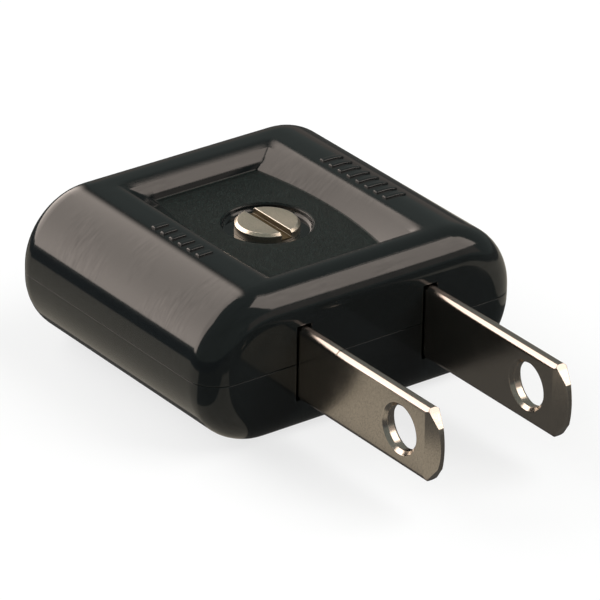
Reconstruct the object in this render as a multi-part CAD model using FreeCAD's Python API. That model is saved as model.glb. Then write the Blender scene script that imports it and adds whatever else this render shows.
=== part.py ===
import FreeCAD, Part
import math
import os

# Two-pole adapter plug: a black body in two shells, held by one screw, with two flat
# blades on its front face and two round sockets in its back face.
# Frame, in millimetres: the origin is the middle of the front face at the parting
# height, the blades point along -Y, the body lies along +Y, and +Z is up.

Vector = FreeCAD.Vector
X_AXIS = Vector(1, 0, 0)
Y_AXIS = Vector(0, 1, 0)
Z_AXIS = Vector(0, 0, 1)
ORIGIN = Vector(0, 0, 0)

# Body outside
BODY_WIDTH = 31.5
BODY_LENGTH = 27.4
BODY_HEIGHT = 13.3
SIDE_FLAT = 0.7               # height of the flat strip between the two side rounds
FRONT_EDGE_RADIUS = 2.6
BACK_EDGE_RADIUS = 2.2
PARTING_GROOVE_WIDTH = 0.08
PARTING_GROOVE_DEPTH = 0.15

# Finger recess, the same on both shells
RECESS_WIDTH = 15.7
RECESS_FRONT_RIM = 3.1        # front face to the recess
RECESS_BACK_RIM = 3.6         # back face to the recess
RECESS_DEPTH = 1.55
RECESS_SIDE_RUN = 3.3         # plan length of the side slopes at their ends
RECESS_SIDE_BULGE = 1.5       # how far the foot of a side slope bows outward
RECESS_END_RUN = 1.31         # plan length of the end slopes, from the rim to the steep wall
RECESS_STEP_HEIGHT = 0.58     # height of the steep wall at each end
RECESS_STEP_LEAN = 0.21       # plan length of the steep wall
RECESS_FOOT_RADIUS = 0.18     # at the foot of the steep walls and of the counterbore

# Screw and nut
SCREW_FROM_FRONT = 13.7
COUNTERBORE_RADIUS = 3.75
COUNTERBORE_DEPTH = 0.6
COUNTERBORE_CHAMFER = 0.14
SCREW_HEAD_RADIUS = 2.72
SCREW_HEAD_HEIGHT = 0.85
SCREW_HEAD_EDGE = 0.22
SCREW_SLOT_WIDTH = 1.0
SCREW_SLOT_DEPTH = 0.55
SCREW_RADIUS = 1.5
SCREW_END_CHAMFER = 0.4
SCREW_PAST_NUT = 0.6
SCREW_CLEARANCE = 0.15
NUT_ACROSS_FLATS = 5.5
NUT_HEIGHT = 2.4
NUT_CORNER_BEVEL = 0.35
NUT_SUNK = 0.15               # nut face below the floor of the lower recess
NUT_POCKET_CLEARANCE = 0.08
THREAD_CLEARANCE = 0.04

# Blades
BLADE_SPACING = 12.7
BLADE_THICKNESS = 1.2
BLADE_WIDTH = 6.45
BLADE_LENGTH = 18.1
BLADE_EDGE_RADIUS = 0.45
BLADE_HOLE_FROM_FACE = 13.3
BLADE_HOLE_RADIUS = 1.9
BLADE_HOLE_EDGE = 0.3
BLADE_NOSE_LENGTH = 1.4       # length over which the outline narrows to the tip
BLADE_NOSE_ROUND = 0.3        # how far the rounded end stands past the straight bevels
BLADE_NOSE_HALF_WIDTH = 1.8
BLADE_THINNED_LENGTH = 1.6    # length over which the thickness falls off
BLADE_TIP_THICKNESS = 0.35
BLADE_SHOULDER_WIDTH = 7.4
BLADE_SHOULDER_FROM_FACE = 1.9
BLADE_TAIL_LENGTH = 8.2
BLADE_SLOT_CLEARANCE = 0.12

# Sockets for two 4 mm round pins, 19 mm apart
SLEEVE_BORE_RADIUS = 2.05
SLEEVE_TAB_INSET = 0.05       # sleeve bore to the outer face of the flat tab
SLEEVE_WALL = 0.4
SLEEVE_FRONT = 9.2            # front end of the rolled tube, from the front face
SLEEVE_SLIT = 0.8
BACK_WALL = 2.9
ENTRY_RADIUS = 2.35
ENTRY_CHAMFER = 0.5
TAB_GAP = 0.05                # blade to tab
TAB_WIDTH = 4.4
TAB_FRONT = 2.4
NECK_WIDTH = 2.4
NECK_OVERLAP = 1.0

# Spring clip round each sleeve
CLIP_FROM_FRONT = 17.8
CLIP_LENGTH = 2.4
CLIP_THICKNESS = 0.35
CLIP_GAP = 0.05
CLIP_OPENING = 1.6

# Rivets between blade and sleeve tab
RIVET_FROM_FACE = 5.0
RIVET_RADIUS = 1.0
RIVET_HEAD_RADIUS = 1.6
RIVET_HEAD_HEIGHT = 0.55
RIVET_HOLE_GAP = 0.04

# Locating pegs on the upper shell
PEG_RADIUS = 1.3
PEG_LENGTH = 2.2
PEG_GAP = 0.08
PEG_FROM_FRONT = 5.4
PEG_FROM_BACK = 5.6

# Clearance of the pockets round the metal parts
POCKET_GAP = 0.15

# Sizes that follow from the ones above
HALF_WIDTH = BODY_WIDTH / 2
HALF_HEIGHT = BODY_HEIGHT / 2
SIDE_RADIUS = (BODY_HEIGHT - SIDE_FLAT) / 2
RECESS_FLOOR = HALF_HEIGHT - RECESS_DEPTH
RECESS_BACK = BODY_LENGTH - RECESS_BACK_RIM
SEAT_HEIGHT = RECESS_FLOOR - COUNTERBORE_DEPTH
HEAD_TOP = SEAT_HEIGHT + SCREW_HEAD_HEIGHT
NUT_BOTTOM = -RECESS_FLOOR + NUT_SUNK
NUT_TOP = NUT_BOTTOM + NUT_HEIGHT
BLADE_X = BLADE_SPACING / 2
BLADE_OUTER_FACE = BLADE_X + BLADE_THICKNESS / 2
BLADE_INNER_FACE = BLADE_X - BLADE_THICKNESS / 2
SLEEVE_OUTER_RADIUS = SLEEVE_BORE_RADIUS + SLEEVE_WALL
SLEEVE_BACK = BODY_LENGTH - BACK_WALL
TAB_INNER_FACE = BLADE_OUTER_FACE + TAB_GAP
TAB_OUTER_FACE = TAB_INNER_FACE + SLEEVE_WALL
SOCKET_X = TAB_OUTER_FACE + SLEEVE_TAB_INSET + SLEEVE_BORE_RADIUS
CLIP_INNER_RADIUS = SLEEVE_OUTER_RADIUS + CLIP_GAP
CLIP_OUTER_RADIUS = CLIP_INNER_RADIUS + CLIP_THICKNESS
PEG_PLACES = (PEG_FROM_FRONT, BODY_LENGTH - PEG_FROM_BACK)
CUT_MARGIN = 1.0              # how far a cutting solid stands past the faces it opens


def box_between(low, high):
    """Box from its lowest corner to its highest corner."""
    size = [b - a for a, b in zip(low, high)]
    return Part.makeBox(size[0], size[1], size[2], Vector(*low))


def ring_between(outer_radius, inner_radius, length, base, axis):
    """Plain tube along an axis."""
    outer = Part.makeCylinder(outer_radius, length, base, axis)
    return outer.cut(Part.makeCylinder(inner_radius, length, base, axis))


def edges_in_plane(shape, axis_name, value):
    """Edges of a shape that lie wholly in one plane square to an axis."""
    found = []
    for edge in shape.Edges:
        box = edge.BoundBox
        low = getattr(box, axis_name + "Min")
        high = getattr(box, axis_name + "Max")
        if abs(low - value) < 1e-4 and abs(high - value) < 1e-4:
            found.append(edge)
    return found


def mirrored_left(shape):
    """The same piece on the other pole, at -X."""
    return shape.mirror(ORIGIN, X_AXIS)


def body_block():
    """Outside of the whole body: a flat bar with round sides and filleted ends."""
    block = box_between((-HALF_WIDTH, 0, -HALF_HEIGHT), (HALF_WIDTH, BODY_LENGTH, HALF_HEIGHT))
    long_edges = [edge for edge in block.Edges if edge.BoundBox.YLength > BODY_LENGTH / 2]
    block = block.makeFillet(SIDE_RADIUS, long_edges)
    block = block.makeFillet(FRONT_EDGE_RADIUS, edges_in_plane(block, "Y", 0))
    return block.makeFillet(BACK_EDGE_RADIUS, edges_in_plane(block, "Y", BODY_LENGTH))


def bowed_wire(half_width, front, back, height, side_bulge):
    """Outline with straight ends whose two sides bow outward."""
    middle = (front + back) / 2
    front_right = Vector(half_width, front, height)
    back_right = Vector(half_width, back, height)
    back_left = Vector(-half_width, back, height)
    front_left = Vector(-half_width, front, height)
    right_mid = Vector(half_width + side_bulge, middle, height)
    left_mid = Vector(-half_width - side_bulge, middle, height)
    edges = [
        Part.Arc(front_right, right_mid, back_right).toShape(),
        Part.LineSegment(back_right, back_left).toShape(),
        Part.Arc(back_left, left_mid, front_left).toShape(),
        Part.LineSegment(front_left, front_right).toShape(),
    ]
    return Part.Wire(edges)


def rectangle_wire(half_width, front, back, height):
    """Plain rectangle with its corners in the same order as the bowed outline."""
    corners = [
        Vector(half_width, front, height),
        Vector(half_width, back, height),
        Vector(-half_width, back, height),
        Vector(-half_width, front, height),
    ]
    return Part.makePolygon(corners + corners[:1])


def recess_between_sides():
    """Room between the two side slopes, whose straight rims run down to bowed feet."""
    half = RECESS_WIDTH / 2
    rim = rectangle_wire(half, RECESS_FRONT_RIM, RECESS_BACK, HALF_HEIGHT)
    foot_half = half - RECESS_SIDE_RUN
    foot = bowed_wire(foot_half, RECESS_FRONT_RIM, RECESS_BACK, RECESS_FLOOR, RECESS_SIDE_BULGE)
    return Part.makeLoft([foot, rim], True, True)


def recess_between_ends():
    """Room between the two end slopes, each with a steep wall and a small round at its foot."""
    x = -RECESS_WIDTH / 2
    step_top = RECESS_FLOOR + RECESS_STEP_HEIGHT
    front_step = RECESS_FRONT_RIM + RECESS_END_RUN
    back_step = RECESS_BACK - RECESS_END_RUN
    corners = [
        Vector(x, RECESS_FRONT_RIM, HALF_HEIGHT),
        Vector(x, front_step, step_top),
        Vector(x, front_step + RECESS_STEP_LEAN, RECESS_FLOOR),
        Vector(x, back_step - RECESS_STEP_LEAN, RECESS_FLOOR),
        Vector(x, back_step, step_top),
        Vector(x, RECESS_BACK, HALF_HEIGHT),
    ]
    outline = Part.Face(Part.makePolygon(corners + corners[:1]))
    room = outline.extrude(Vector(RECESS_WIDTH, 0, 0))
    foot_edges = [
        edge for edge in edges_in_plane(room, "Z", RECESS_FLOOR) if edge.BoundBox.YLength < 1e-4
    ]
    return room.makeFillet(RECESS_FOOT_RADIUS, foot_edges)


def finger_recess():
    """The whole recess of the upper shell: four slopes that meet in mitred corners."""
    return recess_between_sides().common(recess_between_ends())


def mirrored_below(shape):
    """The same shape on the lower shell."""
    return shape.mirror(ORIGIN, Z_AXIS)


def screw_seat():
    """Counterbore with a bevelled foot and a small chamfer at its mouth."""
    base = Vector(0, SCREW_FROM_FRONT, SEAT_HEIGHT)
    bore = Part.makeCylinder(COUNTERBORE_RADIUS, COUNTERBORE_DEPTH + CUT_MARGIN, base, Z_AXIS)
    bore = bore.makeChamfer(RECESS_FOOT_RADIUS, edges_in_plane(bore, "Z", SEAT_HEIGHT))
    mouth = Part.makeCone(
        COUNTERBORE_RADIUS,
        COUNTERBORE_RADIUS + 2 * COUNTERBORE_CHAMFER,
        2 * COUNTERBORE_CHAMFER,
        Vector(0, SCREW_FROM_FRONT, RECESS_FLOOR - COUNTERBORE_CHAMFER),
        Z_AXIS,
    )
    return bore.fuse(mouth)


def screw_hole():
    """Clearance hole for the screw through both shells."""
    base = Vector(0, SCREW_FROM_FRONT, -HALF_HEIGHT)
    return Part.makeCylinder(SCREW_RADIUS + SCREW_CLEARANCE, BODY_HEIGHT, base, Z_AXIS)


def hexagon_corner_radius(across_flats):
    """Distance from the middle of a hexagon to its corners."""
    return across_flats / 2 / math.cos(math.pi / 6)


def hexagon_prism(across_flats, bottom, height):
    """Hexagonal prism on the screw's axis."""
    corner_radius = hexagon_corner_radius(across_flats)
    corners = []
    for index in range(7):
        angle = math.radians(60 * index)
        x = corner_radius * math.cos(angle)
        y = SCREW_FROM_FRONT + corner_radius * math.sin(angle)
        corners.append(Vector(x, y, bottom))
    return Part.Face(Part.makePolygon(corners)).extrude(Vector(0, 0, height))


def nut_pocket():
    """Hexagonal pocket in the floor of the lower recess."""
    bottom = -HALF_HEIGHT
    across = NUT_ACROSS_FLATS + 2 * NUT_POCKET_CLEARANCE
    return hexagon_prism(across, bottom, NUT_TOP - bottom)


def closing_nut():
    """Hexagon nut with bevelled corners."""
    blank = hexagon_prism(NUT_ACROSS_FLATS, NUT_BOTTOM, NUT_HEIGHT)
    corner_radius = hexagon_corner_radius(NUT_ACROSS_FLATS)
    base = Vector(0, SCREW_FROM_FRONT, NUT_BOTTOM)
    round_blank = Part.makeCylinder(corner_radius, NUT_HEIGHT, base, Z_AXIS)
    round_blank = round_blank.makeChamfer(NUT_CORNER_BEVEL, edges_in_plane(round_blank, "Z", NUT_BOTTOM))
    blank = blank.common(round_blank)
    bore = Part.makeCylinder(SCREW_RADIUS + THREAD_CLEARANCE, NUT_HEIGHT, base, Z_AXIS)
    return blank.cut(bore)


def closing_screw():
    """Slotted screw with a flat round head; its shank reaches past the nut."""
    head = Part.makeCylinder(
        SCREW_HEAD_RADIUS, SCREW_HEAD_HEIGHT, Vector(0, SCREW_FROM_FRONT, SEAT_HEIGHT), Z_AXIS
    )
    head = head.makeChamfer(SCREW_HEAD_EDGE, edges_in_plane(head, "Z", HEAD_TOP))
    slot = box_between(
        (-SCREW_SLOT_WIDTH / 2, SCREW_FROM_FRONT - SCREW_HEAD_RADIUS - CUT_MARGIN, HEAD_TOP - SCREW_SLOT_DEPTH),
        (SCREW_SLOT_WIDTH / 2, SCREW_FROM_FRONT + SCREW_HEAD_RADIUS + CUT_MARGIN, HEAD_TOP + CUT_MARGIN),
    )
    end = NUT_BOTTOM - SCREW_PAST_NUT
    shank = Part.makeCylinder(SCREW_RADIUS, SEAT_HEIGHT - end, Vector(0, SCREW_FROM_FRONT, end), Z_AXIS)
    shank = shank.makeChamfer(SCREW_END_CHAMFER, edges_in_plane(shank, "Z", end))
    return head.cut(slot).fuse(shank).removeSplitter()


def blade_outline():
    """Blade outside the body as seen along X, as a plate of the full thickness."""
    half = BLADE_WIDTH / 2
    taper = -(BLADE_LENGTH - BLADE_NOSE_LENGTH)
    nose = -(BLADE_LENGTH - BLADE_NOSE_ROUND)
    x = BLADE_INNER_FACE
    low_root = Vector(x, BLADE_SHOULDER_FROM_FACE, -half)
    low_taper = Vector(x, taper, -half)
    low_nose = Vector(x, nose, -BLADE_NOSE_HALF_WIDTH)
    tip = Vector(x, -BLADE_LENGTH, 0)
    high_nose = Vector(x, nose, BLADE_NOSE_HALF_WIDTH)
    high_taper = Vector(x, taper, half)
    high_root = Vector(x, BLADE_SHOULDER_FROM_FACE, half)
    edges = [
        Part.LineSegment(low_root, low_taper).toShape(),
        Part.LineSegment(low_taper, low_nose).toShape(),
        Part.Arc(low_nose, tip, high_nose).toShape(),
        Part.LineSegment(high_nose, high_taper).toShape(),
        Part.LineSegment(high_taper, high_root).toShape(),
        Part.LineSegment(high_root, low_root).toShape(),
    ]
    return Part.Face(Part.Wire(edges)).extrude(Vector(BLADE_THICKNESS, 0, 0))


def blade_bar():
    """Bar with the rounded cross-section of a blade, as long as the blade outside."""
    length = BLADE_LENGTH + BLADE_SHOULDER_FROM_FACE
    bar = box_between(
        (BLADE_INNER_FACE, -BLADE_LENGTH, -BLADE_WIDTH / 2),
        (BLADE_OUTER_FACE, BLADE_SHOULDER_FROM_FACE, BLADE_WIDTH / 2),
    )
    long_edges = [edge for edge in bar.Edges if edge.BoundBox.YLength > length / 2]
    return bar.makeFillet(BLADE_EDGE_RADIUS, long_edges)


def blade_wedge():
    """Blade as seen along Z: even in thickness, then thinned towards the tip."""
    thin = BLADE_TIP_THICKNESS / 2
    start = -(BLADE_LENGTH - BLADE_THINNED_LENGTH)
    corners = [
        Vector(BLADE_INNER_FACE, BLADE_SHOULDER_FROM_FACE, -BLADE_WIDTH / 2),
        Vector(BLADE_OUTER_FACE, BLADE_SHOULDER_FROM_FACE, -BLADE_WIDTH / 2),
        Vector(BLADE_OUTER_FACE, start, -BLADE_WIDTH / 2),
        Vector(BLADE_X + thin, -BLADE_LENGTH, -BLADE_WIDTH / 2),
        Vector(BLADE_X - thin, -BLADE_LENGTH, -BLADE_WIDTH / 2),
        Vector(BLADE_INNER_FACE, start, -BLADE_WIDTH / 2),
    ]
    outline = Part.Face(Part.makePolygon(corners + corners[:1]))
    return outline.extrude(Vector(0, 0, BLADE_WIDTH))


def blade_hole():
    """Detent hole with bevelled mouths on both faces of the blade."""
    centre = Vector(BLADE_INNER_FACE, -BLADE_HOLE_FROM_FACE, 0)
    hole = Part.makeCylinder(BLADE_HOLE_RADIUS, BLADE_THICKNESS, centre, X_AXIS)
    mouth_radius = BLADE_HOLE_RADIUS + BLADE_HOLE_EDGE
    far_start = Vector(BLADE_OUTER_FACE - BLADE_HOLE_EDGE, -BLADE_HOLE_FROM_FACE, 0)
    near_mouth = Part.makeCone(mouth_radius, BLADE_HOLE_RADIUS, BLADE_HOLE_EDGE, centre, X_AXIS)
    far_mouth = Part.makeCone(BLADE_HOLE_RADIUS, mouth_radius, BLADE_HOLE_EDGE, far_start, X_AXIS)
    return hole.fuse(near_mouth).fuse(far_mouth)


def blade():
    """Contact blade of the right pole: rounded edges, a detent hole and a wider tail."""
    front = blade_outline().common(blade_bar()).common(blade_wedge()).cut(blade_hole())
    tail = box_between(
        (BLADE_INNER_FACE, BLADE_SHOULDER_FROM_FACE, -BLADE_SHOULDER_WIDTH / 2),
        (BLADE_OUTER_FACE, BLADE_TAIL_LENGTH, BLADE_SHOULDER_WIDTH / 2),
    )
    rivet_hole = Part.makeCylinder(
        RIVET_RADIUS + RIVET_HOLE_GAP, BLADE_THICKNESS, Vector(BLADE_INNER_FACE, RIVET_FROM_FACE, 0), X_AXIS
    )
    return front.fuse(tail).cut(rivet_hole).removeSplitter()


def socket_sleeve():
    """Rolled and slit brass tube for one round pin, with a flat tab to its blade."""
    base = Vector(SOCKET_X, SLEEVE_FRONT, 0)
    tube = ring_between(SLEEVE_OUTER_RADIUS, SLEEVE_BORE_RADIUS, SLEEVE_BACK - SLEEVE_FRONT, base, Y_AXIS)
    slit = box_between(
        (SOCKET_X, SLEEVE_FRONT, -SLEEVE_SLIT / 2),
        (SOCKET_X + SLEEVE_OUTER_RADIUS, SLEEVE_BACK, SLEEVE_SLIT / 2),
    )
    neck = box_between(
        (TAB_INNER_FACE, BLADE_TAIL_LENGTH, -NECK_WIDTH / 2),
        (TAB_OUTER_FACE, SLEEVE_FRONT + NECK_OVERLAP, NECK_WIDTH / 2),
    )
    tab = box_between(
        (TAB_INNER_FACE, TAB_FRONT, -TAB_WIDTH / 2),
        (TAB_OUTER_FACE, BLADE_TAIL_LENGTH, TAB_WIDTH / 2),
    )
    rivet_hole = Part.makeCylinder(
        RIVET_RADIUS + RIVET_HOLE_GAP, SLEEVE_WALL, Vector(TAB_INNER_FACE, RIVET_FROM_FACE, 0), X_AXIS
    )
    return tube.cut(slit).fuse(neck).fuse(tab).cut(rivet_hole).removeSplitter()


def spring_clip():
    """Open steel ring that presses the slit sleeve together."""
    base = Vector(SOCKET_X, CLIP_FROM_FRONT, 0)
    ring = ring_between(CLIP_OUTER_RADIUS, CLIP_INNER_RADIUS, CLIP_LENGTH, base, Y_AXIS)
    opening = box_between(
        (SOCKET_X, CLIP_FROM_FRONT, -CLIP_OPENING / 2),
        (SOCKET_X + CLIP_OUTER_RADIUS, CLIP_FROM_FRONT + CLIP_LENGTH, CLIP_OPENING / 2),
    )
    return ring.cut(opening)


def contact_rivet():
    """Rivet with a flat head on each side of the blade and the sleeve tab."""
    inner_end = BLADE_INNER_FACE - RIVET_HEAD_HEIGHT
    shank_length = TAB_OUTER_FACE - BLADE_INNER_FACE
    shank = Part.makeCylinder(RIVET_RADIUS, shank_length, Vector(BLADE_INNER_FACE, RIVET_FROM_FACE, 0), X_AXIS)
    for start in (inner_end, TAB_OUTER_FACE):
        base = Vector(start, RIVET_FROM_FACE, 0)
        shank = shank.fuse(Part.makeCylinder(RIVET_HEAD_RADIUS, RIVET_HEAD_HEIGHT, base, X_AXIS))
    return shank.removeSplitter()


def blade_pocket():
    """Slot through the front wall and the wider pocket round the tail of a blade."""
    gap = BLADE_SLOT_CLEARANCE
    slot = box_between(
        (BLADE_INNER_FACE - gap, -CUT_MARGIN, -BLADE_WIDTH / 2 - gap),
        (BLADE_OUTER_FACE + gap, BLADE_SHOULDER_FROM_FACE, BLADE_WIDTH / 2 + gap),
    )
    tail = box_between(
        (BLADE_INNER_FACE - POCKET_GAP, BLADE_SHOULDER_FROM_FACE, -BLADE_SHOULDER_WIDTH / 2 - POCKET_GAP),
        (BLADE_OUTER_FACE + POCKET_GAP, BLADE_TAIL_LENGTH + POCKET_GAP, BLADE_SHOULDER_WIDTH / 2 + POCKET_GAP),
    )
    return slot.fuse(tail)


def tab_pocket():
    """Room for the sleeve tab, its neck and the two rivet heads."""
    half_tab = TAB_WIDTH / 2 + POCKET_GAP
    tab = box_between(
        (BLADE_X, TAB_FRONT - POCKET_GAP, -half_tab),
        (TAB_OUTER_FACE + POCKET_GAP, SLEEVE_FRONT + NECK_OVERLAP, half_tab),
    )
    half_head = RIVET_HEAD_RADIUS + POCKET_GAP
    rivet = box_between(
        (BLADE_INNER_FACE - RIVET_HEAD_HEIGHT - POCKET_GAP, RIVET_FROM_FACE - half_head, -half_head),
        (TAB_OUTER_FACE + RIVET_HEAD_HEIGHT + POCKET_GAP, RIVET_FROM_FACE + half_head, half_head),
    )
    return tab.fuse(rivet)


def sleeve_pocket():
    """Channel for the sleeve and its clip, and the entry hole through the back wall."""
    front = SLEEVE_FRONT - POCKET_GAP
    channel = Part.makeCylinder(
        SLEEVE_OUTER_RADIUS + POCKET_GAP, SLEEVE_BACK - front, Vector(SOCKET_X, front, 0), Y_AXIS
    )
    clip_start = CLIP_FROM_FRONT - POCKET_GAP
    clip_room = Part.makeCylinder(
        CLIP_OUTER_RADIUS + POCKET_GAP, CLIP_LENGTH + 2 * POCKET_GAP, Vector(SOCKET_X, clip_start, 0), Y_AXIS
    )
    entry = Part.makeCylinder(ENTRY_RADIUS, BACK_WALL + CUT_MARGIN, Vector(SOCKET_X, SLEEVE_BACK, 0), Y_AXIS)
    mouth = Part.makeCone(
        ENTRY_RADIUS,
        ENTRY_RADIUS + 2 * ENTRY_CHAMFER,
        2 * ENTRY_CHAMFER,
        Vector(SOCKET_X, BODY_LENGTH - ENTRY_CHAMFER, 0),
        Y_AXIS,
    )
    return channel.fuse(clip_room).fuse(entry).fuse(mouth)


def pole_pockets():
    """Everything that is hollow for one pole."""
    return blade_pocket().fuse(tab_pocket()).fuse(sleeve_pocket())


def parting_groove():
    """Shallow ring cut round the body where the two shells meet."""
    half = PARTING_GROOVE_WIDTH / 2
    slab = box_between(
        (-HALF_WIDTH - CUT_MARGIN, -CUT_MARGIN, -half),
        (HALF_WIDTH + CUT_MARGIN, BODY_LENGTH + CUT_MARGIN, half),
    )
    depth = PARTING_GROOVE_DEPTH
    core = box_between(
        (-HALF_WIDTH + depth, depth, -half),
        (HALF_WIDTH - depth, BODY_LENGTH - depth, half),
    )
    corner_edges = [edge for edge in core.Edges if edge.BoundBox.ZLength > half]
    core = core.makeFillet((FRONT_EDGE_RADIUS + BACK_EDGE_RADIUS) / 2, corner_edges)
    return slab.cut(core)


def locating_pegs(radius, length):
    """Two round pegs that reach down from the parting plane."""
    pegs = [Part.makeCylinder(radius, length, Vector(0, place, -length), Z_AXIS) for place in PEG_PLACES]
    return pegs[0].fuse(pegs[1])


def half_space(sign):
    """Block that covers everything above or below the parting plane."""
    low = (-BODY_WIDTH, -BODY_LENGTH, min(0, sign * BODY_HEIGHT))
    high = (BODY_WIDTH, 2 * BODY_LENGTH, max(0, sign * BODY_HEIGHT))
    return box_between(low, high)


def shells():
    """Upper and lower shell of the body."""
    block = body_block()
    hollows = pole_pockets()
    for tool in (parting_groove(), hollows, mirrored_left(hollows), screw_hole()):
        block = block.cut(tool)
    recess = finger_recess()
    upper = block.common(half_space(1)).cut(recess).cut(screw_seat())
    upper = upper.fuse(locating_pegs(PEG_RADIUS, PEG_LENGTH))
    lower = block.common(half_space(-1)).cut(mirrored_below(recess)).cut(nut_pocket())
    lower = lower.cut(locating_pegs(PEG_RADIUS + PEG_GAP, PEG_LENGTH + PEG_GAP))
    return upper.removeSplitter(), lower.removeSplitter()


def build():
    """Make every piece and write it as one STEP file."""
    os.makedirs("parts", exist_ok=True)
    upper, lower = shells()
    pieces = {
        "upper_shell": upper,
        "lower_shell": lower,
        "closing_screw": closing_screw(),
        "closing_nut": closing_nut(),
    }
    for name, maker in (
        ("blade", blade),
        ("sleeve", socket_sleeve),
        ("clip", spring_clip),
        ("rivet", contact_rivet),
    ):
        right_piece = maker()
        pieces["right_" + name] = right_piece
        pieces["left_" + name] = mirrored_left(right_piece)
    for name, shape in pieces.items():
        solid = shape.Solids[0] if len(shape.Solids) == 1 else shape
        print(name, "solids", len(shape.Solids), "valid", shape.isValid(), "volume", round(shape.Volume, 2))
        solid.exportStep(os.path.join("parts", name + ".step"))


build()
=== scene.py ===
import math

import bpy
from bpy.props import FloatProperty, FloatVectorProperty, IntProperty, PointerProperty
from mathutils import Matrix, Vector


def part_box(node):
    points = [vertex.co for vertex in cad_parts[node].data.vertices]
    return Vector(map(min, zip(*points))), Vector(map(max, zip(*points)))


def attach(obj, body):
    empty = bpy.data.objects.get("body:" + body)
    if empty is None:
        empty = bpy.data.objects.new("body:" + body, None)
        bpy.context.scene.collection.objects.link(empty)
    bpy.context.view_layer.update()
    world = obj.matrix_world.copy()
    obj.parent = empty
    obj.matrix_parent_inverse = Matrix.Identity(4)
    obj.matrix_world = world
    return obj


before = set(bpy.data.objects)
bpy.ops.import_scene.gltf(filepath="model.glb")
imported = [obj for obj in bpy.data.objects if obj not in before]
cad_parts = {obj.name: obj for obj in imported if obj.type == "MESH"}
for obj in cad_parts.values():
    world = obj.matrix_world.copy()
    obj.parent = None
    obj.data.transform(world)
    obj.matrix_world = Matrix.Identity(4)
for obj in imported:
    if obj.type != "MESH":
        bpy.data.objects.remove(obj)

bl_info = {
    "name": "Adapter plug looks",
    "version": (1, 0, 0),
    "blender": (4, 5, 0),
    "location": "View3D > Sidebar > Plug",
    "description": "Finishes, raised rim ribs and studio for a two-pole adapter plug",
    "category": "Object",
}

# The frame is in metres: blades along -Y, body along +Y, flat top up.
MM = 0.001
BODY_LOW, BODY_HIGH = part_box("upper_shell")
TOP_Z = BODY_HIGH.z
FLOOR_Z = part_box("lower_shell")[0].z
BLADE_TOP_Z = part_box("right_blade")[1].z
SIDE_RADIUS = 6.3 * MM

# Parts of the body that look different, as boxes in millimetres: the middle, half the size
# along each axis, and the width of the fade at the border. They are given on the top and serve
# the underside too.
RECESS_FLOOR = {"Centre": (0, 13.45, 5.10), "Half": (6.3, 8.9, 0.08), "Soft": 0.04}
RECESS_CORNER = {"Centre": (-5.8, 21.9, 5.35), "Half": (0.5, 0.8, 0.3), "Soft": 0.4}
RECESS_STEP = {"Centre": (0, 21.5, 5.68), "Half": (6.6, 2.0, 0.16), "Soft": 0.02}
RECESS_FOOT = {"Centre": (0, 13.45, 5.26), "Half": (7.4, 9.6, 0.24), "Soft": 0.04}

# Bands of height above the seam, in millimetres.
SEAM_BAND_TOP = 0.3
RIM_BAND_FOOT = TOP_Z / MM - 0.35
RIBS_FOOT = TOP_Z / MM + 0.01

# Heights on a blade where its sheared edge starts to show and where it is full, in millimetres.
SHEARED_START = BLADE_TOP_Z / MM - 1.0
SHEARED_FULL = BLADE_TOP_Z / MM - 0.75

# Reach of the floor and table, and distance of the lamps and front reflectors, in metres.
STAGE_REACH = 1.5
STAND_OFF = 1.0

# Sockets of the Mix node by their number, because its value and colour sockets share their names.
MIX_FACTOR = 0
MIX_VALUES = (2, 3)
MIX_VALUE_RESULT = 0
MIX_COLOURS = (6, 7)
MIX_COLOUR_RESULT = 2


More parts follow.
